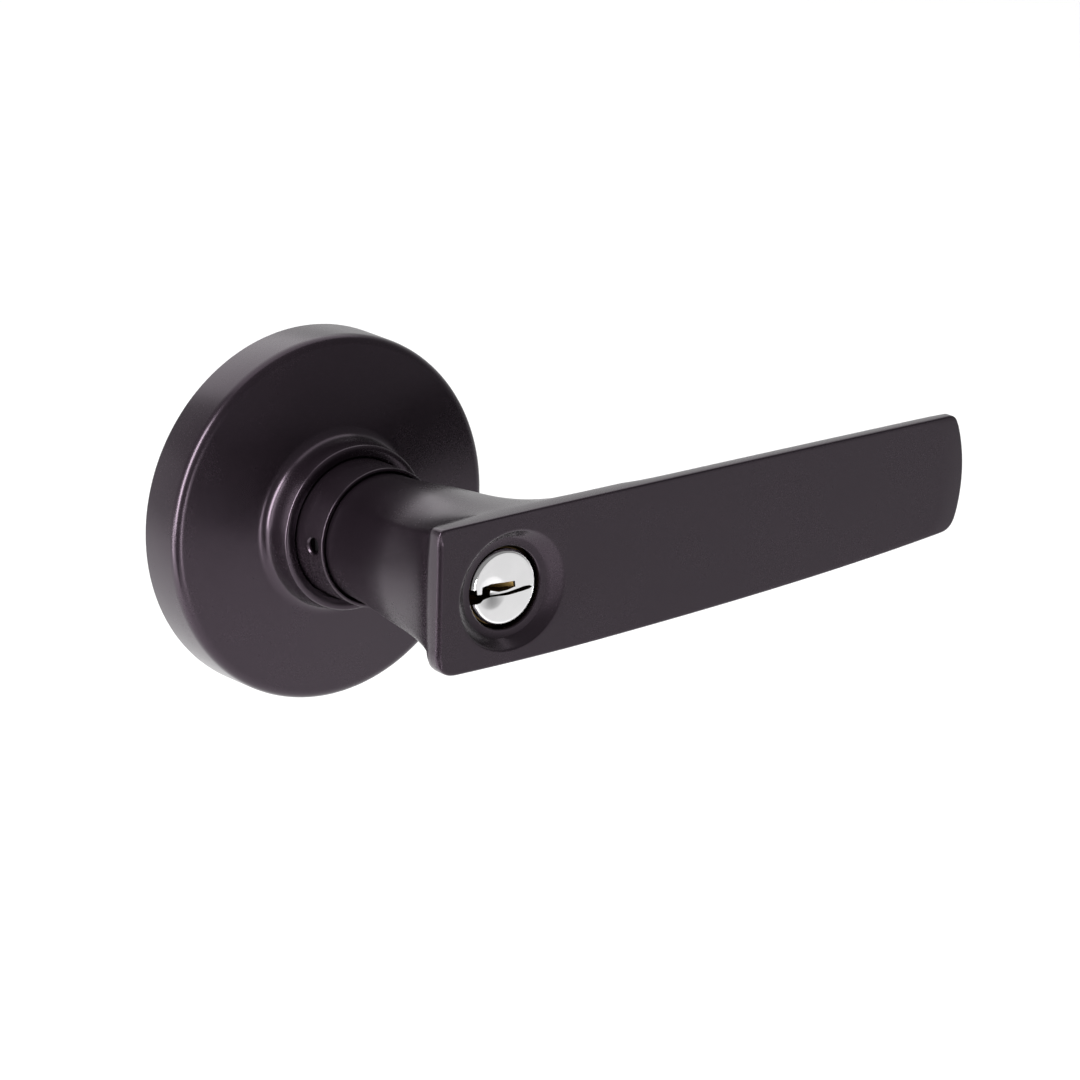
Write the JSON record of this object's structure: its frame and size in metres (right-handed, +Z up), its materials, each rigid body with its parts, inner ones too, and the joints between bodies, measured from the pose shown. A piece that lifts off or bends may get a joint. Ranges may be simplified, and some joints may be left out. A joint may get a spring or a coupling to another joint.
{
  "type": "lever handle lockset",
  "caption": "Outside half of a keyed door lever lockset: round rose, flat turning lever on a round neck, and a pin tumbler key cylinder in the lever's head.",
  "frame": {"origin": "on the spindle axis in the plane of the door's face, where the rose rests", "axes": "+Z up, -Y out of the door along the spindle towards the user, +X towards the lever's tip"},
  "size_m": [0.1433, 0.0931, 0.0666],
  "materials": {
    "satin_black": "satin powder coat, warm black",
    "chrome": "polished chrome plate",
    "brass": "machined",
    "zinc_steel": "zinc plated",
    "spring_steel": "oiled spring steel",
    "nylon": "moulded nylon"
  },
  "bodies": {
    "rose": {"rose_cover": "satin_black", "mounting_plate": "zinc_steel", "spring_cage": "zinc_steel", "threaded_post_left": "zinc_steel", "threaded_post_right": "zinc_steel", "cage_rivet_1": "zinc_steel", "cage_rivet_2": "zinc_steel", "cage_rivet_3": "zinc_steel", "cage_rivet_4": "zinc_steel", "collar": "satin_black", "collar_retainer": "spring_steel", "spindle_bearing": "nylon", "return_spring": "spring_steel"},
    "lever": {"lever_handle": "satin_black", "spindle": "zinc_steel", "driver_plate": "zinc_steel", "spindle_circlip": "spring_steel", "cylinder_clip": "spring_steel", "cylinder_shell": "brass", "chamber_cover": "brass", "catch_spring": "spring_steel", "pin_spring_1": "spring_steel", "pin_spring_2": "spring_steel", "pin_spring_3": "spring_steel", "pin_spring_4": "spring_steel", "pin_spring_5": "spring_steel"},
    "plug": {"key_plug": "chrome", "plug_cap": "brass", "tailpiece": "brass"},
    "catch": {"lever_catch": "zinc_steel"},
    "key_pin_1": {"key_pin_1": "brass"},
    "key_pin_2": {"key_pin_2": "brass"},
    "key_pin_3": {"key_pin_3": "brass"},
    "key_pin_4": {"key_pin_4": "brass"},
    "key_pin_5": {"key_pin_5": "brass"},
    "driver_pin_1": {"driver_pin_1": "zinc_steel"},
    "driver_pin_2": {"driver_pin_2": "zinc_steel"},
    "driver_pin_3": {"driver_pin_3": "zinc_steel"},
    "driver_pin_4": {"driver_pin_4": "zinc_steel"},
    "driver_pin_5": {"driver_pin_5": "zinc_steel"}
  },
  "joints": [
    {"name": "lever_turn", "type": "hinge", "parent": "rose", "child": "lever", "pos_m": [0, 0, 0], "axis": [0, 1, 0], "range_deg": [-45, 45], "stiffness_Nm_per_rad": 2, "springref_deg": -1.89, "deforming": ["return_spring"]},
    {"name": "plug_turn", "type": "hinge", "parent": "lever", "child": "plug", "pos_m": [0, -0.0483, 0], "axis": [0, 1, 0], "range_deg": [-90, 90]},
    {"name": "catch_press", "type": "slide", "parent": "lever", "child": "catch", "axis": [1, 0, 0], "range_m": [0, 0.0015], "stiffness_N_per_m": 600, "deforming": ["catch_spring"]},
    {"name": "key_pin_1_slide", "type": "slide", "parent": "plug", "child": "key_pin_1", "axis": [1, 0, 0], "range_m": [0, 0.0012]},
    {"name": "key_pin_2_slide", "type": "slide", "parent": "plug", "child": "key_pin_2", "axis": [1, 0, 0], "range_m": [0, 0.0012]},
    {"name": "key_pin_3_slide", "type": "slide", "parent": "plug", "child": "key_pin_3", "axis": [1, 0, 0], "range_m": [0, 0.0012]},
    {"name": "key_pin_4_slide", "type": "slide", "parent": "plug", "child": "key_pin_4", "axis": [1, 0, 0], "range_m": [0, 0.0012]},
    {"name": "key_pin_5_slide", "type": "slide", "parent": "plug", "child": "key_pin_5", "axis": [1, 0, 0], "range_m": [0, 0.0012]},
    {"name": "driver_pin_1_slide", "type": "slide", "parent": "lever", "child": "driver_pin_1", "axis": [-1, 0, 0], "range_m": [0, 0.0014], "stiffness_N_per_m": 120, "deforming": ["pin_spring_1"]},
    {"name": "driver_pin_2_slide", "type": "slide", "parent": "lever", "child": "driver_pin_2", "axis": [-1, 0, 0], "range_m": [0, 0.0014], "stiffness_N_per_m": 120, "deforming": ["pin_spring_2"]},
    {"name": "driver_pin_3_slide", "type": "slide", "parent": "lever", "child": "driver_pin_3", "axis": [-1, 0, 0], "range_m": [0, 0.0014], "stiffness_N_per_m": 120, "deforming": ["pin_spring_3"]},
    {"name": "driver_pin_4_slide", "type": "slide", "parent": "lever", "child": "driver_pin_4", "axis": [-1, 0, 0], "range_m": [0, 0.0014], "stiffness_N_per_m": 120, "deforming": ["pin_spring_4"]},
    {"name": "driver_pin_5_slide", "type": "slide", "parent": "lever", "child": "driver_pin_5", "axis": [-1, 0, 0], "range_m": [0, 0.0014], "stiffness_N_per_m": 120, "deforming": ["pin_spring_5"]}
  ]
}
